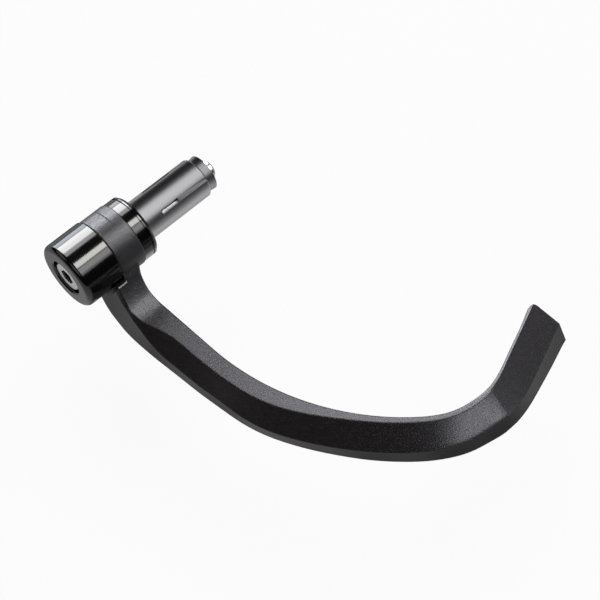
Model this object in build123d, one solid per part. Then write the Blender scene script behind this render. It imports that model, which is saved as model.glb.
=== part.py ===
"""Brake lever guard for a motorbike: a moulded hook that clamps to the end of the handlebar.

The origin is on the bar's axis, in the plane where the collar seats on the end of the bar.
+X points outboard along the bar, +Y forward, the way the arm reaches, and +Z up.
"""

from build123d import *
from dataclasses import dataclass
from math import atan2, cos, inf, radians, sin, sqrt
import os

# Stack along the bar, from the bar's end outwards
collar_length = 6.4
collar_radius = 13.3
ring_width = 11.8
ring_radius = 13.6
ring_edge_round = 0.5
cap_length = 17.0
cap_radius = 14.0
cap_front_round = 2.2
cap_rear_chamfer = 0.4

# Collar and the spigot that carries the ring
collar_groove_at = 1.8
collar_groove_width = 0.5
collar_groove_depth = 0.5
collar_end_chamfer = 0.8
collar_socket_depth = 0.8
collar_socket_gap = 0.1
spigot_radius = 9.0
spigot_short = 0.3
ring_bore_gap = 0.1

# Clamp bolt and its counterbore in the cap
bolt_radius = 4.0
bolt_length = 65.0
bolt_hole_gap = 0.25
bolt_head_radius = 6.5
bolt_head_height = 8.0
bolt_head_chamfer = 0.6
bolt_tip_chamfer = 0.8
hex_across_flats = 6.0
hex_depth = 4.0
head_recess = 0.8
counterbore_gap = 1.0
counterbore_chamfer = 0.5

# Expander in the bar's bore
sleeve_radius = 8.5
sleeve_nose_step = 0.2
sleeve_slots = 4
sleeve_slot_width = 2.0
sleeve_slot_length = 23.0
sleeve_first_slot = 45.0
sleeve_end_chamfer = 0.6
bolt_stand_out = 3.1
wedge_length = 17.0
wedge_wide_radius = 7.6
wedge_narrow_radius = 5.2
wedge_stand_out = 3.5
wedge_gap = 0.05
taper_run_out = 1.5
thread_gap = 0.05
key_length = 9.0
key_root_radius = 5.0
key_side_gap = 0.15
key_top_gap = 0.4

# Path of the arm's inner edge, seen from above
spine_x = 11.6
spine_lean = 2.3
shank_length = 25.0
sweep_radius = 102.4
sweep_turn = 48.8
bend_radius = 35.3
bend_turn = 59.7
tip_length = 32.0

# Scoop from the ring down to the arm's top, and the heel under it
scoop_radius = 17.6
arm_top_z = -12.2
arm_height = 17.8
heel_start = -0.6
heel_end = 20.4
neck_reach = 20.4
neck_sink = 0.1
edge_round = 0.5
top_round = 0.8
neck_sections = 7
arm_sections = 20

# Pocket that clears the cap
pocket_gap = 1.75

# Sunk pad on the bevel of the tip, and the rounded corner of its end
pad_lead = 10.0
pad_recess = 0.3
pad_sections = 7
corner_round = 3.0
corner_bite = 0.05
cutter_margin = 2.0

# Sections of the neck, outwards from the line of the arm's inner edge
ring_inner = -3.6
ring_outer = 11.4
ring_base = 11.4
flare_inner = -1.3
flare_outer = 11.7
flare_base = 11.9
neck_inner = 0.4
neck_outer = 12.4
neck_base = 12.8
throat_inner = 0.5
throat_outer = 12.9
throat_base = 13.3
neck_bevel = 1.0
neck_drop = 1.2

# Sections of the arm: flat top, ridge of the bevel and its drop, and base
foot_flat = 10.2
foot_ridge = 13.5
foot_drop = 2.8
foot_base = 12.8
root_flat = 7.9
root_ridge = 14.2
root_drop = 5.0
root_base = 12.2
shank_flat = 7.2
shank_ridge = 13.3
shank_drop = 6.7
shank_base = 10.5
waist_flat = 7.2
waist_ridge = 12.6
waist_drop = 7.4
waist_base = 9.8
sweep_flat = 7.0
sweep_ridge = 13.7
sweep_drop = 7.8
sweep_base = 10.4
reach_flat = 3.4
reach_ridge = 12.0
reach_drop = 7.8
reach_base = 10.2
bend_flat = 2.4
bend_ridge = 11.2
bend_drop = 7.8
bend_base = 10.5
elbow_flat = 2.3
elbow_ridge = 10.7
elbow_drop = 7.5
elbow_base = 11.3
pad_flat = 1.6
pad_ridge = 12.0
pad_drop = 6.9
pad_base = 14.4
tip_inner = -0.5
tip_flat = 1.1
tip_ridge = 11.8
tip_drop = 6.8
tip_base = 16.2

ring_start = collar_length
ring_end = ring_start + ring_width
cap_end = ring_end + cap_length
head_seat = cap_end - head_recess - bolt_head_height
bolt_hole_radius = bolt_radius + bolt_hole_gap
bolt_tip = head_seat - bolt_length
wedge_end = bolt_tip + bolt_stand_out
sleeve_end = wedge_end + wedge_stand_out

heel_slope = (arm_height - arm_top_z - ring_radius) / (heel_end - heel_start)
scoop_z = arm_top_z + scoop_radius
scoop_y = sqrt((ring_radius + scoop_radius) ** 2 - scoop_z**2)
scoop_run = scoop_radius * atan2(scoop_y, scoop_z)
sweep_run = sweep_radius * radians(sweep_turn)
bend_run = bend_radius * radians(bend_turn)
bend_at = shank_length + sweep_run
tip_at = bend_at + bend_run
arm_run = tip_at + tip_length


@dataclass
class Section:
    """One cross section of the arm, at a distance along its inner edge.

    Distances below zero run back up the scoop to the ring. Depths are measured outwards from the
    line of the inner edge, and the ridge's drop is measured down from the top.
    """

    at: float
    inner: float
    flat: float
    ridge: float
    drop: float
    base: float


def neck_section(at, inner, outer, base):
    """Section of the neck, which has a narrow bevel all the way."""
    return Section(at, inner, outer - neck_bevel, outer, neck_drop, base)


SECTIONS = [
    neck_section(-scoop_run, ring_inner, ring_outer, ring_base),
    neck_section(-scoop_run * 6 / 7, flare_inner, flare_outer, flare_base),
    neck_section(-scoop_run / 2, neck_inner, neck_outer, neck_base),
    neck_section(-scoop_run / 4, throat_inner, throat_outer, throat_base),
    Section(0, 0, foot_flat, foot_ridge, foot_drop, foot_base),
    Section(shank_length / 3, 0, root_flat, root_ridge, root_drop, root_base),
    Section(shank_length, 0, shank_flat, shank_ridge, shank_drop, shank_base),
    Section(shank_length + sweep_run / 8, 0, waist_flat, waist_ridge, waist_drop, waist_base),
    Section(shank_length + sweep_run / 3, 0, sweep_flat, sweep_ridge, sweep_drop, sweep_base),
    Section(shank_length + sweep_run * 2 / 3, 0, reach_flat, reach_ridge, reach_drop, reach_base),
    Section(bend_at, 0, bend_flat, bend_ridge, bend_drop, bend_base),
    Section(bend_at + bend_run / 2, 0, elbow_flat, elbow_ridge, elbow_drop, elbow_base),
    Section(tip_at, 0, pad_flat, pad_ridge, pad_drop, pad_base),
    Section(arm_run, tip_inner, tip_flat, tip_ridge, tip_drop, tip_base),
]


def spine(distance):
    """Point and heading of the inner edge line, built from straight runs and arcs."""
    runs = [
        (shank_length, 0.0),
        (sweep_run, sweep_turn),
        (bend_run, bend_turn),
        (inf, 0.0),
    ]
    x, y, heading = spine_x, scoop_y, 90.0 + spine_lean
    for length, turn in runs:
        step = min(distance, length)
        if turn:
            radius = length / radians(turn)
            swung = heading + turn * step / length
            x += radius * (sin(radians(swung)) - sin(radians(heading)))
            y -= radius * (cos(radians(swung)) - cos(radians(heading)))
            heading = swung
        else:
            x += step * cos(radians(heading))
            y += step * sin(radians(heading))
        distance -= step
    return x, y, heading


def section_sizes(distance):
    """Section sizes at a distance, carried smoothly from one named section to the next."""
    places = [section.at for section in SECTIONS]
    here = max(i for i in range(len(places) - 1) if i == 0 or places[i] <= distance)
    span = places[here + 1] - places[here]
    t = (distance - places[here]) / span

    def slope(values, i):
        before, after = max(i - 1, 0), min(i + 1, len(values) - 1)
        return (values[after] - values[before]) / (places[after] - places[before])

    def carried(name):
        values = [getattr(section, name) for section in SECTIONS]
        level = values[here] * (2 * t**3 - 3 * t**2 + 1) + values[here + 1] * (3 * t**2 - 2 * t**3)
        leaving = span * slope(values, here) * (t**3 - 2 * t**2 + t)
        arriving = span * slope(values, here + 1) * (t**3 - t**2)
        return level + leaving + arriving

    return Section(distance, *(carried(n) for n in ("inner", "flat", "ridge", "drop", "base")))


def neck_depth(angle):
    """Depth of the neck below the scoop's surface, along a line from the scoop's centre."""
    heel_level = -ring_radius - heel_slope * (scoop_y - heel_start)
    to_heel = (scoop_z - heel_level) / (cos(angle) + heel_slope * sin(angle))
    to_base = (scoop_radius + arm_height) / cos(angle)
    return min(to_heel, to_base, scoop_radius + neck_reach) - scoop_radius


def section_plane(distance):
    """Plane of a section: its origin on the top of the inner edge, x outwards and y up."""
    if distance < 0:
        angle = -distance / scoop_radius
        top = (spine_x, scoop_y - scoop_radius * sin(angle), scoop_z - scoop_radius * cos(angle))
        return Plane(origin=top, x_dir=(1, 0, 0), z_dir=(0, -cos(angle), sin(angle)))
    x, y, heading = spine(distance)
    outwards = (sin(radians(heading)), -cos(radians(heading)), 0)
    backwards = (-cos(radians(heading)), -sin(radians(heading)), 0)
    return Plane(origin=(x, y, arm_top_z), x_dir=outwards, z_dir=backwards)


def arm_section(distance):
    """Cross section of the arm with rounded edges; its top sinks just into the ring at the start."""
    size = section_sizes(distance)
    depth = neck_depth(-distance / scoop_radius) if distance < 0 else arm_height
    sink = neck_sink * max(0, -distance / scoop_run) ** 6
    corners = [
        (size.inner, -depth),
        (size.base, -depth),
        (size.ridge, -size.drop),
        (size.flat, -sink),
        (size.inner, -sink),
    ]
    outline = make_face(Polyline(*corners, close=True))
    by_height = outline.vertices().sort_by(Axis.Y)
    outline = fillet(by_height[:3], edge_round)
    return section_plane(distance) * fillet(outline.vertices().sort_by(Axis.Y)[-2:], top_round)


def make_arm():
    """Loft of the arm, from inside the ring, down the scoop and round to the end of the tip."""
    places = [-scoop_run * (1 - i / neck_sections) for i in range(neck_sections)]
    places += [arm_run * i / arm_sections for i in range(arm_sections + 1)]
    return loft([arm_section(place) for place in places])


def pad_layer(distance):
    """Section of the layer that is taken off the bevel, reaching past both of its edges."""
    size = section_sizes(distance)
    down = Vector(size.ridge - size.flat, -size.drop).normalized()
    out = Vector(-down.Y, down.X)
    low = Vector(size.flat, 0) - down * cutter_margin - out * pad_recess
    high = Vector(size.ridge, -size.drop) + down * cutter_margin - out * pad_recess
    lift = out * (pad_recess + cutter_margin)
    return section_plane(distance) * make_face(Polyline(low, high, high + lift, low + lift, close=True))


def make_pad_cutter():
    """Layer over the bevel from the crease in the bend to past the end of the tip."""
    start, end = tip_at - pad_lead, arm_run + cutter_margin
    step = (end - start) / pad_sections
    return loft([pad_layer(start + step * i) for i in range(pad_sections + 1)])


def make_corner_cutter():
    """Block with a round hollow that rounds off the inner corner of the tip's end, seen from above."""
    x, y, heading = spine(arm_run)
    outwards = (sin(radians(heading)), -cos(radians(heading)), 0)
    above = Plane(origin=(x, y, arm_top_z + cutter_margin), x_dir=outwards, z_dir=(0, 0, 1))
    inset = corner_round - corner_bite
    side = inset + cutter_margin
    block = Pos(tip_inner + inset - side / 2, side / 2 - inset) * Rectangle(side, side)
    hollow = Pos(tip_inner + inset, -inset) * Circle(corner_round)
    return extrude(above * (block - hollow), -(arm_height + 2 * cutter_margin))


def along_bar(radius, start, end):
    """Cylinder on the bar's axis between two places."""
    return Plane.YZ.offset(start) * extrude(Circle(radius), end - start)


def turned(*profile):
    """Solid of revolution about the bar's axis, from (place, radius) corners."""
    outline = make_face(Plane.XY * Polyline(*profile, close=True))
    return revolve(outline, Axis.X)


def make_guard_arm():
    """Ring and arm in one moulding, with the pocket that clears the cap."""
    ring = along_bar(ring_radius, ring_start, ring_end)
    ring = fillet(ring.edges().filter_by(GeomType.CIRCLE), ring_edge_round)
    pocket = along_bar(cap_radius + pocket_gap, ring_end, cap_end)
    bore = along_bar(spigot_radius + ring_bore_gap, ring_start, ring_end)
    arm = make_arm() - make_pad_cutter() - make_corner_cutter()
    return ring + (arm - pocket) - bore


def make_end_cap():
    """Bar-end weight: a plain cylinder with a rounded front, counterbored for the bolt's head."""
    cap = along_bar(cap_radius, ring_end, cap_end)
    rims = cap.edges().filter_by(GeomType.CIRCLE).sort_by(Axis.X)
    cap = fillet(rims[-1], cap_front_round)
    rear = cap.edges().filter_by(GeomType.CIRCLE).sort_by(Axis.X)[0]
    cap = chamfer(rear, cap_rear_chamfer)
    wide = bolt_head_radius + counterbore_gap
    mouth = turned(
        (head_seat, 0),
        (head_seat, wide),
        (cap_end - counterbore_chamfer, wide),
        (cap_end, wide + counterbore_chamfer),
        (cap_end, 0),
    )
    return cap - mouth - along_bar(bolt_hole_radius, ring_end, head_seat)


def make_spacer_collar():
    """Grooved band against the end of the bar, with the spigot that carries the ring."""
    groove_end = collar_groove_at + collar_groove_width
    groove_radius = collar_radius - collar_groove_depth
    socket_radius = sleeve_radius + collar_socket_gap
    return turned(
        (collar_socket_depth, bolt_hole_radius),
        (collar_socket_depth, socket_radius),
        (0, socket_radius),
        (0, collar_radius - collar_end_chamfer),
        (collar_end_chamfer, collar_radius),
        (collar_groove_at, collar_radius),
        (collar_groove_at, groove_radius),
        (groove_end, groove_radius),
        (groove_end, collar_radius),
        (ring_start, collar_radius),
        (ring_start, spigot_radius),
        (ring_end - spigot_short, spigot_radius),
        (ring_end - spigot_short, bolt_hole_radius),
    )


def make_clamp_bolt():
    """Socket head cap screw that draws the stack together."""
    head_end = head_seat + bolt_head_height
    body = turned(
        (bolt_tip, 0),
        (bolt_tip, bolt_radius - bolt_tip_chamfer),
        (bolt_tip + bolt_tip_chamfer, bolt_radius),
        (head_seat, bolt_radius),
        (head_seat, bolt_head_radius),
        (head_end - bolt_head_chamfer, bolt_head_radius),
        (head_end, bolt_head_radius - bolt_head_chamfer),
        (head_end, 0),
    )
    hexagon = RegularPolygon(hex_across_flats / 2, 6, major_radius=False)
    return body - Plane.YZ.offset(head_end - hex_depth) * extrude(hexagon, hex_depth)


def wedge_radius(place):
    """Radius of the wedge's taper at a place along the bar."""
    share = (place - wedge_end) / wedge_length
    return wedge_wide_radius + (wedge_narrow_radius - wedge_wide_radius) * share


def make_expander_sleeve():
    """Slotted sleeve that the wedge spreads in the bar's bore, its nose in the collar's socket."""
    taper_end = wedge_end + wedge_length + taper_run_out
    nose_radius = sleeve_radius - sleeve_nose_step
    body = turned(
        (sleeve_end, wedge_radius(sleeve_end) + wedge_gap),
        (sleeve_end, sleeve_radius - sleeve_end_chamfer),
        (sleeve_end + sleeve_end_chamfer, sleeve_radius),
        (0, sleeve_radius),
        (0, nose_radius),
        (collar_socket_depth, nose_radius),
        (collar_socket_depth, bolt_hole_radius),
        (taper_end, bolt_hole_radius),
        (taper_end, wedge_radius(taper_end) + wedge_gap),
    )
    middle = sleeve_end + sleeve_slot_length / 2
    slot = Pos(middle, 0, sleeve_radius / 2) * Box(sleeve_slot_length, sleeve_slot_width, sleeve_radius)
    for turn in range(sleeve_slots):
        body -= Rot(X=sleeve_first_slot + 360 * turn / sleeve_slots) * slot
    return body


def make_wedge_nut():
    """Tapered nut on the end of the bolt, keyed into one of the sleeve's slots."""
    narrow_end = wedge_end + wedge_length
    body = turned(
        (wedge_end, bolt_radius + thread_gap),
        (wedge_end, wedge_wide_radius),
        (narrow_end, wedge_narrow_radius),
        (narrow_end, bolt_radius + thread_gap),
    )
    key_height = sleeve_radius - key_top_gap - key_root_radius
    width = sleeve_slot_width - 2 * key_side_gap
    place = Pos(sleeve_end + key_length / 2, 0, key_root_radius + key_height / 2)
    return body + Rot(X=sleeve_first_slot) * place * Box(key_length, width, key_height)


if __name__ == "__main__":
    os.makedirs("parts", exist_ok=True)
    export_step(make_guard_arm(), "parts/guard_arm.step")
    export_step(make_end_cap(), "parts/end_cap.step")
    export_step(make_spacer_collar(), "parts/spacer_collar.step")
    export_step(make_clamp_bolt(), "parts/clamp_bolt.step")
    export_step(make_expander_sleeve(), "parts/expander_sleeve.step")
    export_step(make_wedge_nut(), "parts/wedge_nut.step")
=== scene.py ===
"""Brake lever guard: finishes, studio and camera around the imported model, in metres."""

import logging
import math
from dataclasses import dataclass, field, replace
from enum import Enum
from typing import Any, Union

import bpy
import numpy as np
from mathutils import Matrix, Vector


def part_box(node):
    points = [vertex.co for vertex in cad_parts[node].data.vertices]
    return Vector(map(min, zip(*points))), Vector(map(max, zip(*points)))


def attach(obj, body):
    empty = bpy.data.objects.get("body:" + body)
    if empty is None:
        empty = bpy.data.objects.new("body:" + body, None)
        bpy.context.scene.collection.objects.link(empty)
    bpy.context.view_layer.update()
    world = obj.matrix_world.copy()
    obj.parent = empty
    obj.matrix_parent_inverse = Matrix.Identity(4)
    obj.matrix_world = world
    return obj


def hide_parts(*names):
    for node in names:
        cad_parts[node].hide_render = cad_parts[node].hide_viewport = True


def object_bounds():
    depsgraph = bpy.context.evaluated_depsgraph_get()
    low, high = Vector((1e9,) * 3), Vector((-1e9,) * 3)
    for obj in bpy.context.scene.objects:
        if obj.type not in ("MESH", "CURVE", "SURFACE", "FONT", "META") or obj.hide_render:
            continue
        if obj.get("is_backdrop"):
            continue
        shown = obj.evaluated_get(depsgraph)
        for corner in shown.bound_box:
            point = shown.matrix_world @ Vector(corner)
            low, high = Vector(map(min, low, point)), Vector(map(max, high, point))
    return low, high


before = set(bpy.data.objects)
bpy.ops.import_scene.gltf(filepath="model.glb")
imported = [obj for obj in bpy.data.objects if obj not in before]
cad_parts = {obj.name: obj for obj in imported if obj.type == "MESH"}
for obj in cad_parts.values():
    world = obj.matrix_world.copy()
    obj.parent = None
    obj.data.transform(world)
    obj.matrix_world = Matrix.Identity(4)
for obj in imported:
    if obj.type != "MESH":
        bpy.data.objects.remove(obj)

log = logging.getLogger("lever_guard")
shown: dict[str, bpy.types.Object] = dict(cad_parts)

# A pair is a span, from and to, or a soft step, its level and its ramp.
Pair = tuple[float, float]
Triple = tuple[float, float, float]
Colour = Triple
Place = Triple
Operand = Union["Signal", float]


class Signal:
    """A shader socket that takes part in Python arithmetic."""

    def __init__(self, sheet: "NodeSheet", socket: bpy.types.NodeSocket | None) -> None:
        """Wrap one output socket.

        Args:
            sheet: the node sheet that the socket belongs to.
            socket: the output socket, or none for a node that has no output.
        """
        self.sheet = sheet
        self.socket = socket

    def _with(self, operation: str, first: Operand, second: Operand) -> "Signal":
        """Add one Math node.

        Args:
            operation: the Math node's operation.
            first: left operand.
            second: right operand.

        Returns:
            The node's result.
        """
        return self.sheet.node("ShaderNodeMath", {"operation": operation}, {0: first, 1: second})

    def __add__(self, other: Operand) -> "Signal":
        """Sum of two values."""
        return self._with("ADD", self, other)

    def __radd__(self, other: Operand) -> "Signal":
        """Sum with a plain number on the left."""
        return self._with("ADD", other, self)

    def __sub__(self, other: Operand) -> "Signal":
        """Difference of two values."""
        return self._with("SUBTRACT", self, other)

    def __rsub__(self, other: Operand) -> "Signal":
        """Difference with a plain number on the left."""
        return self._with("SUBTRACT", other, self)

    def __mul__(self, other: Operand) -> "Signal":
        """Product of two values."""
        return self._with("MULTIPLY", self, other)

    def __rmul__(self, other: Operand) -> "Signal":
        """Product with a plain number on the left."""
        return self._with("MULTIPLY", other, self)

    def __pow__(self, other: Operand) -> "Signal":
        """Power of a value."""
        return self._with("POWER", self, other)

    def above(self, level: float, ramp: float) -> "Signal":
        """Step up softly.

        Args:
            level: value where the step starts to rise.
            ramp: span over which it reaches one.

        Returns:
            Zero below the level, one above level plus ramp, a straight line between.
        """
        settings = {"clamp": True, "interpolation_type": "LINEAR"}
        inputs = {"Value": self, "From Min": level, "From Max": level + ramp}
        return self.sheet.node("ShaderNodeMapRange", settings, inputs)

    def below(self, level: float, ramp: float) -> "Signal":
        """One below the level less the ramp, falling to zero at the level."""
        return (level - self).above(0.0, ramp)

    def within(self, span: Pair, ramp: float) -> "Signal":
        """One inside a span, falling to zero at both its ends."""
        return self.above(span[0], ramp) * self.below(span[1], ramp)

    def off(self, value: float) -> "Signal":
        """Square of the distance from a value."""
        return (self - value) * (self - value)


class NodeSheet:
    """The node tree of one material or of the world."""

    def __init__(self, tree: bpy.types.NodeTree) -> None:
        """Clear a node tree and work on it.

        Args:
            tree: the tree to fill.
        """
        self.tree = tree
        self.tree.nodes.clear()

    def node(
        self,
        kind: str,
        settings: dict[str, Any] | None = None,
        inputs: dict[str | int, Any] | None = None,
        output: str | int = 0,
    ) -> Signal:
        """Add any node.

        Args:
            kind: the node's type name.
            settings: properties set before the sockets.
            inputs: values or signals by socket name or number.
            output: which output to hand back.

        Returns:
            The chosen output.
        """
        made = self.tree.nodes.new(kind)
        for name, value in (settings or {}).items():
            setattr(made, name, value)
        for name, value in (inputs or {}).items():
            if isinstance(value, Signal):
                self.tree.links.new(value.socket, made.inputs[name])
            else:
                made.inputs[name].default_value = value
        return Signal(self, made.outputs[output] if made.outputs else None)

    def blend(self, factor: Operand, low: Signal | Colour, high: Colour) -> Signal:
        """Mix two colours.

        Args:
            factor: zero for the low colour, one for the high one.
            low: first colour.
            high: second colour.

        Returns:
            The mixed colour.
        """
        first = low if isinstance(low, Signal) else (*low, 1.0)
        inputs = {"Factor": factor, 6: first, 7: (*high, 1.0)}
        return self.node("ShaderNodeMix", {"data_type": "RGBA"}, inputs, 2)

    def lean(self, factor: Signal, first: Signal, second: Signal | Place) -> Signal:
        """Mix two directions, the second where the factor is one."""
        inputs = {"Factor": factor, 4: first, 5: second}
        return self.node("ShaderNodeMix", {"data_type": "VECTOR"}, inputs, 1)

    def axes(self, vector: Signal) -> tuple[Signal, Signal, Signal]:
        """Split a vector into its three parts."""
        inputs = {"Vector": vector}
        return tuple(self.node("ShaderNodeSeparateXYZ", None, inputs, axis) for axis in "XYZ")

    def place(self) -> Signal:
        """Object coordinates."""
        return self.node("ShaderNodeTexCoord", output="Object")

    def noise(self, vector: Signal, scale: float, detail: float, roughness: float = 0.5) -> Signal:
        """Fractal noise over a vector, about 0.5 on average."""
        inputs = {"Vector": vector, "Scale": scale, "Detail": detail, "Roughness": roughness}
        return self.node("ShaderNodeTexNoise", {"noise_dimensions": "3D"}, inputs)

    def surface(self, shader: Signal) -> None:
        """Show a shader on the material's surface."""
        self.node("ShaderNodeOutputMaterial", inputs={"Surface": shader})


def fresh_material(name: str) -> tuple[bpy.types.Material, NodeSheet]:
    """Make an empty node material.

    Args:
        name: the material's name.

    Returns:
        The material and its node sheet.
    """
    material = bpy.data.materials.new(name)
    material.use_nodes = True
    return material, NodeSheet(material.node_tree)


@dataclass(frozen=True)
class MouldedNylon:
    """Black glass-filled nylon: satin, with a fine grain, pale fibre specks and softened edges."""

    name: str = "moulded_nylon"
    dark: Colour = (0.0102, 0.0068, 0.0080)
    pale: Colour = (0.024, 0.024, 0.025)
    ior: float = 1.53
    roughness: float = 0.38
    roughness_spread: float = 0.20
    # Grain and fibre specks.
    grain_per_m: float = 1700.0
    grain_detail: float = 3.0
    grain_fineness: float = 0.65
    speck_per_m: float = 3600.0
    speck_level: float = 0.60
    speck_ramp: float = 0.14
    speck_height: float = 0.5
    relief: float = 0.8
    relief_depth: float = 0.0001
    # Rounded edges, and the softer ones where the scoop leaves the ring.
    edge_radius: float = 0.0004
    soft_radius: float = 0.0028
    foot_along: Pair = (0.0072, 0.0168)
    foot_ramp: float = 0.0006
    foot_before: Pair = (0.0105, 0.0015)
    foot_up: Pair = (-0.006, 0.006)
    foot_up_ramp: float = 0.003
    # The soft ridge of the bend, the even pad of the tip and the crease between them.
    bend_from: Pair = (-0.022, 0.006)
    bend_end_ramp: float = 0.0015
    bend_ridge: Pair = (-0.0150, 0.0015)
    pad_from: float = -0.054
    pad_ramp: float = 0.0002
    pad_normal: Place = (-0.2, 0.5, 0.843)
    pad_likeness: Pair = (0.94, 0.02)
    crease_from: Pair = (-0.0548, 0.0001)
    crease_to: Pair = (-0.0529, 0.0002)
    crease_likeness: Pair = (0.6, 0.1)
    flat_top: Pair = (-0.0127, 0.0002)
    # The chamfer on the pocket's lip.
    lip: Place = (0.0202, 0.01545, -0.00325)
    lip_half_length: Pair = (0.0024, 0.0004)
    lip_width: Pair = (0.0006, 0.0001)
    lip_normal: Place = (0.0, 0.37, 0.929)
    lip_polish: float = 0.2
    # The parting line on the ring.
    seam_at: float = 0.0112
    seam_half: float = 0.00016
    seam_above: Pair = (0.0085, 0.001)
    seam_behind: Pair = (0.0012, 0.0006)
    seam_depth: float = 0.5
    seam_roughness: float = 0.3

    def material(self) -> bpy.types.Material:
        """Grain sets roughness and relief; specks are where a finer noise passes a level.

        Returns:
            The material.
        """
        material, sheet = fresh_material(self.name)
        place = sheet.place()
        grain = sheet.noise(place, self.grain_per_m, self.grain_detail, self.grain_fineness)
        speck = sheet.noise(place, self.speck_per_m, 1.0).above(self.speck_level, self.speck_ramp)
        seam = self.seam(sheet, place)
        lip = self.lip_mask(sheet, place)
        bump = sheet.node(
            "ShaderNodeBump",
            inputs={
                "Height": grain + self.speck_height * speck - self.seam_depth * seam,
                "Strength": self.relief,
                "Distance": self.relief_depth,
                "Normal": self.facing(sheet, place, lip),
            },
        )
        satin = self.roughness + self.roughness_spread * (grain - 0.5)
        shader = sheet.node(
            "ShaderNodeBsdfPrincipled",
            inputs={
                "Base Color": sheet.blend(speck, self.dark, self.pale),
                "Roughness": satin + self.seam_roughness * seam - self.lip_polish * lip,
                "Normal": bump,
                "IOR": self.ior,
            },
        )
        sheet.surface(shader)
        return material

    def facing(self, sheet: NodeSheet, place: Signal, lip: Signal) -> Signal:
        """Round the edges, more at the foot and the bend's ridge; pad and lip each face one way.

        Args:
            sheet: the material's nodes.
            place: object coordinates.
            lip: one on the lip's chamfer.

        Returns:
            The normal.
        """
        along, forward, up = sheet.axes(place)
        plain = sheet.node("ShaderNodeNewGeometry", output="Normal")
        crisp = sheet.node("ShaderNodeBevel", {"samples": 6}, {"Radius": self.edge_radius})
        broad = sheet.node("ShaderNodeBevel", {"samples": 8}, {"Radius": self.soft_radius})

        at_foot = along.within(self.foot_along, self.foot_ramp) * forward.above(*self.foot_before)
        at_foot = at_foot * up.within(self.foot_up, self.foot_up_ramp)
        at_bend = along.below(*self.bend_from) * along.above(self.pad_from, self.bend_end_ramp)
        at_ridge = up.below(*self.bend_ridge)
        soft = sheet.lean(at_foot + at_bend * at_ridge, crisp, broad)
        soft = sheet.lean(at_bend * (1.0 - at_ridge), soft, plain)

        pair = {0: plain, 1: self.pad_normal}
        like = sheet.node("ShaderNodeVectorMath", {"operation": "DOT_PRODUCT"}, pair, 1)
        on_pad = along.below(self.pad_from, self.pad_ramp) * like.above(*self.pad_likeness)
        at_crease = along.above(*self.crease_from) * along.below(*self.crease_to)
        at_crease = at_crease * like.above(*self.crease_likeness) * up.below(*self.flat_top)
        even = (on_pad + at_crease).above(0.0, 1.0)
        return sheet.lean(lip, sheet.lean(even, soft, self.pad_normal), self.lip_normal)

    def lip_mask(self, sheet: NodeSheet, place: Signal) -> Signal:
        """Mark the chamfer along the pocket's lip: near its line, within its length.

        Args:
            sheet: the material's nodes.
            place: object coordinates.

        Returns:
            One on the chamfer, zero away from it.
        """
        along, forward, up = sheet.axes(place)
        x, y, z = self.lip
        from_line = (forward.off(y) + up.off(z)) ** 0.5
        from_middle = along.off(x) ** 0.5
        return from_line.below(*self.lip_width) * from_middle.below(*self.lip_half_length)

    def seam(self, sheet: NodeSheet, place: Signal) -> Signal:
        """Draw the moulding's parting line over the upper rear of the ring.

        Args:
            sheet: the material's nodes.
            place: object coordinates.

        Returns:
            One on the line, zero away from it.
        """
        along, forward, up = sheet.axes(place)
        line = 1.0 - along.off(self.seam_at).above(self.seam_half**2, 3.0 * self.seam_half**2)
        return line * up.above(*self.seam_above) * forward.below(*self.seam_behind)


@dataclass(frozen=True)
class TurnedFinish:
    """A lathe-turned metal finish, bare or anodised, with fine tool marks and, where a socket is
    set, painted shade inside it.
    """

    name: str
    colour: Colour
    worn: Colour
    metallic: float
    roughness: float
    roughness_spread: float
    ior: float = 1.5
    # Painted shade in a socket: below this place along the bar and within this radius the colour
    # turns dark and the metal dull.
    socket_below: float | None = None
    socket_ramp: float = 0.0003
    socket_radius: Pair = (0.0036, 0.0001)
    socket_painted_shade: Colour = (0.035, 0.024, 0.02)
    shoulder_below: float | None = None
    shoulder_ramp: float = 0.0001
    shoulder_lean: float = 0.45
    inboard: Place = (-1.0, 0.0, 0.0)
    marks_per_m: float = 5200.0
    marks_detail: float = 2.0
    marks_fineness: float = 0.6
    relief: float = 0.03
    relief_depth: float = 0.00002

    def material(self) -> bpy.types.Material:
        """Marks are noise over distance along the bar plus distance from it, so they form rings.

        Returns:
            The material.
        """
        material, sheet = fresh_material(self.name)
        along, across, up = sheet.axes(sheet.place())
        reach = (across * across + up * up) ** 0.5
        rings = sheet.node("ShaderNodeCombineXYZ", inputs={"X": along + reach})
        marks = sheet.noise(rings, self.marks_per_m, self.marks_detail, self.marks_fineness)
        normal = sheet.node(
            "ShaderNodeBump",
            inputs={"Height": marks, "Strength": self.relief, "Distance": self.relief_depth},
        )
        if self.shoulder_below is not None:
            shoulder = self.shoulder_lean * along.below(self.shoulder_below, self.shoulder_ramp)
            normal = sheet.lean(shoulder, normal, self.inboard)
        colour = sheet.blend(marks, self.colour, self.worn)
        metallic: Operand = self.metallic
        # Painted shade: the socket's inside is darkened and made less metallic, standing in for the
        # shade of the recess.
        if self.socket_below is not None:
            inside = along.below(self.socket_below, self.socket_ramp)
            inside = inside * reach.below(*self.socket_radius)
            colour = sheet.blend(inside, colour, self.socket_painted_shade)
            metallic = self.metallic * (1.0 - inside)
        shader = sheet.node(
            "ShaderNodeBsdfPrincipled",
            inputs={
                "Base Color": colour,
                "Metallic": metallic,
                "Roughness": self.roughness + self.roughness_spread * (marks - 0.5),
                "Normal": normal,
                "IOR": self.ior,
            },
        )
        sheet.surface(shader)
        return material


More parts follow.
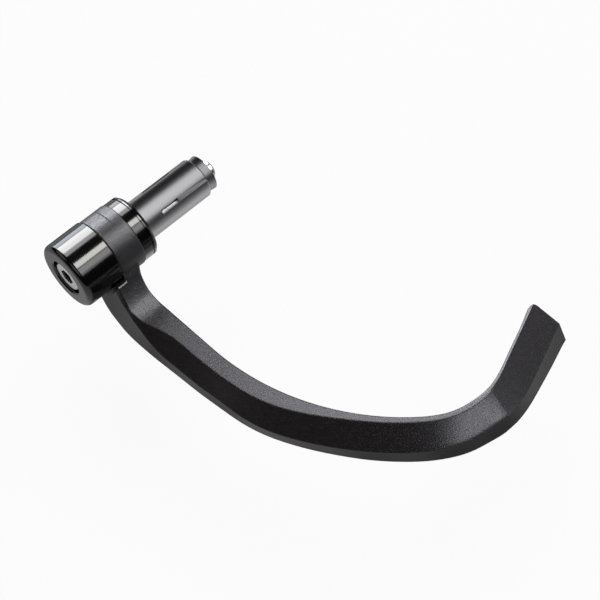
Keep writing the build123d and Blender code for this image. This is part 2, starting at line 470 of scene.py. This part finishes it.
GLOSS_BLACK = TurnedFinish(
    "gloss_black_anodise", (0.002, 0.002, 0.0025), (0.004, 0.004, 0.0045), 0.0, 0.12, 0.05, ior=1.6
)
BRIGHT_ZINC = TurnedFinish("bright_zinc", (0.66, 0.66, 0.68), (0.78, 0.78, 0.8), 1.0, 0.26, 0.18)
PLAIN_ALUMINIUM = TurnedFinish(
    "plain_aluminium", (0.6, 0.6, 0.62), (0.74, 0.74, 0.76), 1.0, 0.34, 0.2
)
TURNED_STEEL = TurnedFinish("turned_steel", (0.42, 0.42, 0.44), (0.56, 0.56, 0.58), 1.0, 0.36, 0.2)


def dress(node: str, material: bpy.types.Material) -> None:
    """Give what shows a CAD node one material.

    Args:
        node: the node's name.
        material: the finish to show.
    """
    piece = shown[node]
    piece.data.materials.clear()
    piece.data.materials.append(material)
    log.info("%s wears %s", node, material.name)


SWEEP_CENTRE: Pair = (-0.0917, 0.0516)
BEND_CENTRE: Pair = (-0.0496, 0.1038)


@dataclass(frozen=True)
class Swell:
    """A fuller stretch of the arm's outer side, on an arc of its inner edge seen from above."""

    centre: Pair
    radius: float
    middle_degrees: float
    half_degrees: float
    amount: float
    ridge_z: float = -0.0192
    base_z: float = -0.0300
    depth: float = 0.0105

    def push(self, points: np.ndarray) -> np.ndarray:
        """Work out how far each point moves.

        Args:
            points: places, rows of x, y and z.

        Returns:
            Moves straight out from the arc: the amount times the squared cosine of the angle from
            the middle, times the share of the way down, times the share of the way out through it.
        """
        spoke = points[:, :2] - np.array(self.centre)
        reach = np.linalg.norm(spoke, axis=1)
        angle = np.degrees(np.arctan2(spoke[:, 1], spoke[:, 0])) - self.middle_degrees
        hump = np.cos(np.clip(angle / self.half_degrees, -1.0, 1.0) * 0.5 * np.pi) ** 2
        down = np.clip((self.ridge_z - points[:, 2]) / (self.ridge_z - self.base_z), 0.0, 1.0)
        out = np.clip((reach - self.radius) / self.depth, 0.0, 1.0)
        move = np.zeros_like(points)
        move[:, :2] = (self.amount * hump * down * out / reach)[:, None] * spoke
        return move


@dataclass
class GuardMoulding:
    """The nylon ring and hooked arm, one moulding, with a fuller outer side than the node has."""

    finish: MouldedNylon = field(default_factory=MouldedNylon)
    swells: tuple[Swell, ...] = (
        Swell(SWEEP_CENTRE, 0.1118, -20.0, 5.5, 0.00095, ridge_z=-0.0090, base_z=-0.0235),
        Swell(SWEEP_CENTRE, 0.1024, 11.8, 25.0, 0.00142),
        Swell(BEND_CENTRE, 0.0353, 82.0, 24.0, 0.0005),
    )

    def build(self) -> None:
        """Stand in for the node with a copy of its mesh, moved out at the swells within its box."""
        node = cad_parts["guard_arm"]
        mesh = node.data.copy()
        points = np.empty((len(mesh.vertices), 3), dtype=np.float32)
        mesh.vertices.foreach_get("co", points.ravel())
        low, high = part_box("guard_arm")
        moved = np.clip(points + sum(swell.push(points) for swell in self.swells), low, high)
        mesh.vertices.foreach_set("co", np.ascontiguousarray(moved, dtype=np.float32).ravel())
        mesh.update()
        piece = bpy.data.objects.new("moulding", mesh)
        bpy.context.scene.collection.objects.link(piece)
        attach(piece, "root")
        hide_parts("guard_arm")
        shown["guard_arm"] = piece
        dress("guard_arm", self.finish.material())


@dataclass
class BarEndStack:
    """Cap, collar and bolt, the turned pieces in sight."""

    anodise: TurnedFinish = GLOSS_BLACK
    zinc: TurnedFinish = BRIGHT_ZINC
    collar_shoulder: float = 0.0012
    socket_inset: float = 0.0004

    def build(self) -> None:
        """Dress the cap, the collar with a rounded shoulder, and the bolt with painted shade in its
        socket.
        """
        dress("end_cap", self.anodise.material())
        shoulder = self.collar_shoulder
        rounded = replace(self.anodise, name="gloss_black_collar", shoulder_below=shoulder)
        dress("spacer_collar", rounded.material())
        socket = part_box("clamp_bolt")[1][0] - self.socket_inset
        dress("clamp_bolt", replace(self.zinc, socket_below=socket).material())


@dataclass
class Expander:
    """Sleeve and wedge that grip the bore of the bar."""

    aluminium: TurnedFinish = PLAIN_ALUMINIUM
    steel: TurnedFinish = TURNED_STEEL

    def build(self) -> None:
        """Dress the sleeve in aluminium and the wedge in steel."""
        dress("expander_sleeve", self.aluminium.material())
        dress("wedge_nut", self.steel.material())


class Shows(Enum):
    """What a lamp is for: the plain light on matt colour, or a shape to be seen in gloss."""

    SHADE = "shade"
    GLOSS = "gloss"


ALL_PIECES: tuple[str, ...] = ()
MOULDED = ("guard_arm",)
POLISHED = ("end_cap", "spacer_collar", "clamp_bolt")
CAP = ("end_cap",)
CAP_FRONT = ("clamp_bolt", "end_cap")
COLLAR = ("spacer_collar",)
BARE = ("expander_sleeve", "wedge_nut")

WHITE: Colour = (1.0, 1.0, 1.0)
COOL: Colour = (0.90, 0.92, 1.0)
BLUISH: Colour = (0.86, 0.92, 1.0)
WARM: Colour = (1.0, 0.97, 0.93)

STRIP_DISTANCE = 0.9
STRIP_LENGTH = 0.6
STRIP_INBOARD = 0.37
CAP_MIDDLE = 0.018
OVERHEAD_FORWARD = 0.0685
OVERHEAD_UP = 0.12
OVERHEAD_SIZE: Pair = (0.06, 0.113)
ALL_BUT_UP = Vector((0.0, 0.001, 0.1))
ALL_BUT_DOWN = Vector((0.0, 0.001, -0.1))


@dataclass
class Softbox:
    """A rectangular lamp with one side level, facing a point."""

    name: str
    centre: Vector
    aim: Vector
    width: float
    height: float
    radiance: float
    pieces: tuple[str, ...] = MOULDED
    shows: Shows = Shows.GLOSS
    tint: Colour = WHITE

    @classmethod
    def strip(
        cls,
        name: str,
        low: float,
        high: float,
        radiance: float,
        pieces: tuple[str, ...],
        tint: Colour = WHITE,
    ) -> "Softbox":
        """Make a lamp that lies along the bar, between two angles seen from its end.

        Args:
            name: the lamp's name.
            low: first angle in degrees from straight up, towards the front.
            high: last angle.
            radiance: the lamp's brightness.
            pieces: the pieces that show it.
            tint: the lamp's colour.

        Returns:
            The lamp: its height is twice the distance times the tangent of half the angle.
        """
        middle = math.radians((low + high) / 2.0)
        away = Vector((0.0, math.sin(middle), math.cos(middle))) * STRIP_DISTANCE
        aim = Vector((CAP_MIDDLE - STRIP_INBOARD * STRIP_DISTANCE, 0.0, 0.0))
        height = 2.0 * STRIP_DISTANCE * math.tan(math.radians(high - low) / 2.0)
        return cls(name, aim + away, aim, STRIP_LENGTH, height, radiance, pieces, tint=tint)

    @classmethod
    def overhead(cls, name: str, along: float, radiance: float) -> "Softbox":
        """Make a lamp close above the inside of the hook, which the arm's flat top shows.

        Args:
            name: the lamp's name.
            along: its place along the bar.
            radiance: the lamp's brightness.

        Returns:
            The lamp, aimed all but straight down.
        """
        centre = Vector((along, OVERHEAD_FORWARD, OVERHEAD_UP))
        aim = centre + ALL_BUT_DOWN
        return cls(name, centre, aim, *OVERHEAD_SIZE, radiance, MOULDED, tint=COOL)

    @classmethod
    def glow(
        cls, name: str, spot: Vector, width: float, radiance: float, pieces: tuple[str, ...]
    ) -> "Softbox":
        """Make a square lamp that lies face up on the floor.

        Args:
            name: the lamp's name.
            spot: its place.
            width: its side.
            radiance: the lamp's brightness.
            pieces: the pieces that show it.

        Returns:
            The lamp, aimed all but straight up.
        """
        return cls(name, spot, spot + ALL_BUT_UP, width, width, radiance, pieces)

    def build(self) -> None:
        """Hang the lamp: its power is radiance times pi times its area."""
        lamp = bpy.data.lights.new(self.name, "AREA")
        lamp.shape = "RECTANGLE"
        lamp.size = self.width
        lamp.size_y = self.height
        lamp.color = self.tint
        lamp.energy = self.radiance * math.pi * self.width * self.height
        holder = bpy.data.objects.new(self.name, lamp)
        away = (self.centre - self.aim).normalized()
        side = Vector((0.0, 0.0, 1.0)).cross(away).normalized()
        turned = Matrix((side, away.cross(side), away)).transposed().to_4x4()
        holder.matrix_world = Matrix.Translation(self.centre) @ turned
        holder.visible_camera = False
        holder.visible_diffuse = self.shows is Shows.SHADE
        holder.visible_glossy = self.shows is Shows.GLOSS
        bpy.context.scene.collection.objects.link(holder)
        if self.pieces:
            lit = bpy.data.collections.new(self.name + "_pieces")
            for piece in self.pieces:
                lit.objects.link(shown[piece])
            holder.light_linking.receiver_collection = lit
        log.info("%s hung", self.name)


@dataclass
class Studio:
    """Pale floor, soft lamps, a dark tent and a glowing card with painted shadows, both seen only
    in gloss, white background and camera.
    """

    floor_gap: float = 0.06
    floor_half: float = 3.0
    floor_colour: Colour = (0.92, 0.92, 0.92)
    floor_white: float = 0.9
    fill: float = 0.38
    tent_radius: float = 1.4
    tent_rows: int = 13
    tent_columns: int = 49
    tent_tone: float = 0.003
    # The gloss-only card glows as painted light and is darkened to painted shadows round the listed
    # spots.
    card_lift: float = 0.001
    painted_light_tone: float = 0.55
    painted_shadow_tone: float = 0.08
    shade_core: float = 0.3
    shade_ramp: float = 1.4
    # Each painted shadow: place along the bar, place forward, radius.
    painted_shadow_spots: tuple[Triple, ...] = (
        (-0.020, -0.090, 0.085),
        (0.030, 0.010, 0.016),
        (0.018, 0.050, 0.021),
        (-0.006, 0.062, 0.018),
        (0.010, 0.090, 0.018),
        (0.000, 0.130, 0.019),
        (-0.030, 0.170, 0.030),
        (-0.075, 0.190, 0.028),
        (-0.130, 0.400, 0.150),
        (-0.260, 0.850, 0.300),
    )
    azimuth: float = 136.54
    elevation: float = 59.66
    distance: float = 0.7
    target: Place = (-0.02288, 0.06827, 0.0)
    focal_pixels: float = 1855.0
    photo_pixels: float = 600.0
    sensor_mm: float = 36.0
    clip_start: float = 0.01

    def build(self, lowest: float) -> None:
        """Set up everything round the object.

        Args:
            lowest: height of the object's lowest point.
        """
        floor_z = lowest - self.floor_gap
        self.lay_floor(floor_z)
        self.pitch_tent(floor_z)
        self.light_world()
        for lamp in self.lamps(floor_z + 2.0 * self.card_lift):
            lamp.build()
        self.aim_camera()

    def lamps(self, low: float) -> list[Softbox]:
        """List the lamps: one plain key for matt colour, the rest shapes that pieces show in gloss.

        Args:
            low: height of the lamps that lie on the floor.

        Returns:
            The lamps.
        """
        middle = Vector((-0.03, 0.07, 0.0))
        bend = Vector((-0.046, 0.183, -0.016))
        pad = Vector((-0.085, 0.13, -0.015))
        cap = Vector((0.025, 0.0, 0.0))
        above_bend = Vector((-0.047, 0.187, 0.004))
        above_all = Vector((-0.3, -0.1, 1.15))
        return [
            Softbox("key", above_all, middle, 0.9, 0.9, 3.4, ALL_PIECES, Shows.SHADE),
            Softbox("bare_softbox", Vector((0.0, 0.3, 1.0)), middle, 1.6, 1.6, 0.9, BARE),
            Softbox.strip("rear_low_softbox", -98.0, -80.0, 8.5, MOULDED, COOL),
            Softbox.strip("rear_softbox", -80.0, -62.0, 4.0, MOULDED, COOL),
            Softbox.strip("rear_high_softbox", -62.0, -44.0, 24.0, MOULDED, COOL),
            Softbox.strip("front_softbox", 4.0, 28.0, 6.0, MOULDED),
            Softbox.overhead("root_softbox", -0.035, 4.7),
            Softbox.overhead("sweep_softbox", -0.095, 5.0),
            Softbox.overhead("tip_softbox", -0.155, 17.0),
            Softbox("bend_softbox", above_bend, bend, 0.05, 0.032, 7.6, tint=COOL),
            Softbox("pad_softbox", Vector((-0.29, 0.27, 0.15)), pad, 0.25, 0.25, 0.46, tint=COOL),
            Softbox.strip("rear_low_strip", -93.0, -73.0, 5.4, POLISHED, BLUISH),
            Softbox.strip("rear_strip", -71.0, -38.0, 13.0, POLISHED),
            Softbox.strip("rear_high_strip", -38.0, -23.0, 4.7, POLISHED),
            Softbox.strip("front_strip", 9.0, 27.0, 10.9, POLISHED, WARM),
            Softbox.strip("front_low_strip", 30.0, 48.0, 3.8, POLISHED),
            Softbox.strip("front_rim_strip", 48.0, 55.0, 1.8, POLISHED),
            Softbox.glow("face_glow", Vector((0.070, -0.038, low)), 0.12, 0.13, CAP_FRONT),
            Softbox.glow("collar_glow", Vector((-0.030, 0.034, low)), 0.07, 0.7, COLLAR),
            Softbox.glow("ring_glow", Vector((-0.026, 0.05, low)), 0.09, 0.25, MOULDED),
            Softbox("outboard_rear_softbox", Vector((0.55, -0.60, 0.50)), cap, 0.7, 0.5, 0.7, CAP),
            Softbox("outboard_front_softbox", Vector((0.55, 0.35, 0.70)), cap, 0.7, 0.5, 0.7, CAP),
        ]

    def white_to_eye(self, sheet: NodeSheet) -> Signal:
        """Tell the rays that should see white from the rest.

        Args:
            sheet: the nodes to add to.

        Returns:
            One for rays from the camera, from gloss and through clear things, zero for the rest.
        """
        kinds = ("Is Camera Ray", "Is Glossy Ray", "Is Transmission Ray")
        seen = [sheet.node("ShaderNodeLightPath", output=kind) for kind in kinds]
        return (seen[0] + seen[1] + seen[2]).above(0.0, 1.0)

    def lay_floor(self, height: float) -> None:
        """Lay a pale floor that shows near white and still takes a shadow.

        Args:
            height: the floor's height.
        """
        material, sheet = fresh_material("studio_floor")
        matt = sheet.node("ShaderNodeBsdfDiffuse", inputs={"Color": (*self.floor_colour, 1.0)})
        glow = sheet.node("ShaderNodeEmission", inputs={"Color": (*WHITE, 1.0), "Strength": 1.0})
        share = self.floor_white * self.white_to_eye(sheet)
        sheet.surface(sheet.node("ShaderNodeMixShader", inputs={0: share, 1: matt, 2: glow}))
        half = self.floor_half
        square = ((-half, -half), (half, -half), (half, half), (-half, half))
        corners = [(x, y, height) for x, y in square]
        mesh = bpy.data.meshes.new("studio_floor")
        mesh.from_pydata(corners, [], [(0, 1, 2, 3)])
        mesh.materials.append(material)
        floor = bpy.data.objects.new("studio_floor", mesh)
        bpy.context.scene.collection.objects.link(floor)
        floor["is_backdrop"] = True
        log.info("studio_floor laid")

    def pitch_tent(self, height: float) -> None:
        """Pitch a black tent and lay a glowing card with painted shadows, both seen only in gloss.

        Args:
            height: the floor's height.
        """
        turns = np.linspace(0.0, 2.0 * np.pi, self.tent_columns)
        around, rise = np.meshgrid(turns, np.linspace(0.0, 0.5 * np.pi, self.tent_rows))
        level = np.cos(rise)
        shell = np.stack([level * np.cos(around), level * np.sin(around), np.sin(rise)], axis=-1)
        tent = shell * self.tent_radius + np.array([0.0, 0.0, height])
        self.gloss_only("black_tent", tent, ())
        across, along = np.meshgrid(np.linspace(-1.0, 1.0, 3), np.linspace(-1.0, 1.0, 3))
        square = np.stack([across, along, np.zeros_like(across)], axis=-1)
        card = square * self.tent_radius + np.array([0.0, 0.0, height + self.card_lift])
        self.gloss_only("painted_shadow_card", card, self.painted_shadow_spots)

    def gloss_only(self, name: str, grid: np.ndarray, shadow_spots: tuple[Triple, ...]) -> None:
        """Add a grid surface that only reflections see: black, or a pale glow of painted light with
        round painted shadows.

        Args:
            name: the surface's name.
            grid: points, rows by columns by three.
            shadow_spots: place along the bar, place forward and radius of each painted shadow; none
                makes it black.
        """
        rows, columns = grid.shape[:2]
        index = np.arange(rows * columns).reshape(rows, columns)
        faces = np.stack([index[:-1, :-1], index[:-1, 1:], index[1:, 1:], index[1:, :-1]], axis=-1)
        mesh = bpy.data.meshes.new(name)
        mesh.from_pydata(grid.reshape(-1, 3).tolist(), [], faces.reshape(-1, 4).tolist())
        material, sheet = fresh_material(name)
        mesh.materials.append(material)
        along, forward, _ = sheet.axes(sheet.place())
        # Painted shadows: the card's glow drops from the pale tone to the dark one near each spot.
        level: Operand = 1.0 if shadow_spots else 0.0
        for x, y, radius in shadow_spots:
            reach = (along.off(x) + forward.off(y)) ** 0.5
            level = level * reach.above(self.shade_core * radius, self.shade_ramp * radius)
        darkest = self.painted_shadow_tone if shadow_spots else self.tent_tone
        tone = sheet.blend(level, (darkest,) * 3, (self.painted_light_tone,) * 3)
        sheet.surface(sheet.node("ShaderNodeEmission", inputs={"Color": tone, "Strength": 1.0}))
        surface = bpy.data.objects.new(name, mesh)
        surface.visible_camera = False
        surface.visible_diffuse = False
        surface.visible_shadow = False
        surface.visible_transmission = False
        bpy.context.scene.collection.objects.link(surface)
        surface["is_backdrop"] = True
        log.info("%s set up", name)

    def light_world(self) -> None:
        """Even grey fill from all round, white where the eye or gloss sees it."""
        world = bpy.data.worlds.new("studio_world")
        world.use_nodes = True
        sheet = NodeSheet(world.node_tree)
        level = self.fill + (1.0 - self.fill) * self.white_to_eye(sheet)
        sky = sheet.node("ShaderNodeBackground", inputs={"Color": (*WHITE, 1.0), "Strength": level})
        sheet.node("ShaderNodeOutputWorld", inputs={"Surface": sky})
        bpy.context.scene.world = world

    def aim_camera(self) -> None:
        """Stand the camera at the photograph's angle, level, with its focal length in pixels."""
        turn, rise = math.radians(self.azimuth), math.radians(self.elevation)
        level = math.cos(rise)
        back = Vector((math.sin(turn) * level, -math.cos(turn) * level, math.sin(rise)))
        right = Vector((math.cos(turn), math.sin(turn), 0.0))
        up = back.cross(right)
        turned = Matrix((right, up, back)).transposed().to_4x4()
        lens = bpy.data.cameras.new("photo_camera")
        lens.sensor_width = self.sensor_mm
        lens.lens = self.focal_pixels / self.photo_pixels * self.sensor_mm
        lens.clip_start = self.clip_start
        holder = bpy.data.objects.new("photo_camera", lens)
        stand = Vector(self.target) + back * self.distance
        holder.matrix_world = Matrix.Translation(stand) @ turned
        bpy.context.scene.collection.objects.link(holder)
        bpy.context.scene.camera = holder


def main() -> None:
    """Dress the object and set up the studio."""
    logging.basicConfig(level=logging.INFO, format="%(message)s")
    cad_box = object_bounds()
    for assembly in (GuardMoulding(), BarEndStack(), Expander()):
        assembly.build()
        log.info("%s done", type(assembly).__name__)
    Studio().build(cad_box[0][2])
    bpy.context.scene.view_settings.view_transform = "Standard"


if __name__ == "__main__":
    main()
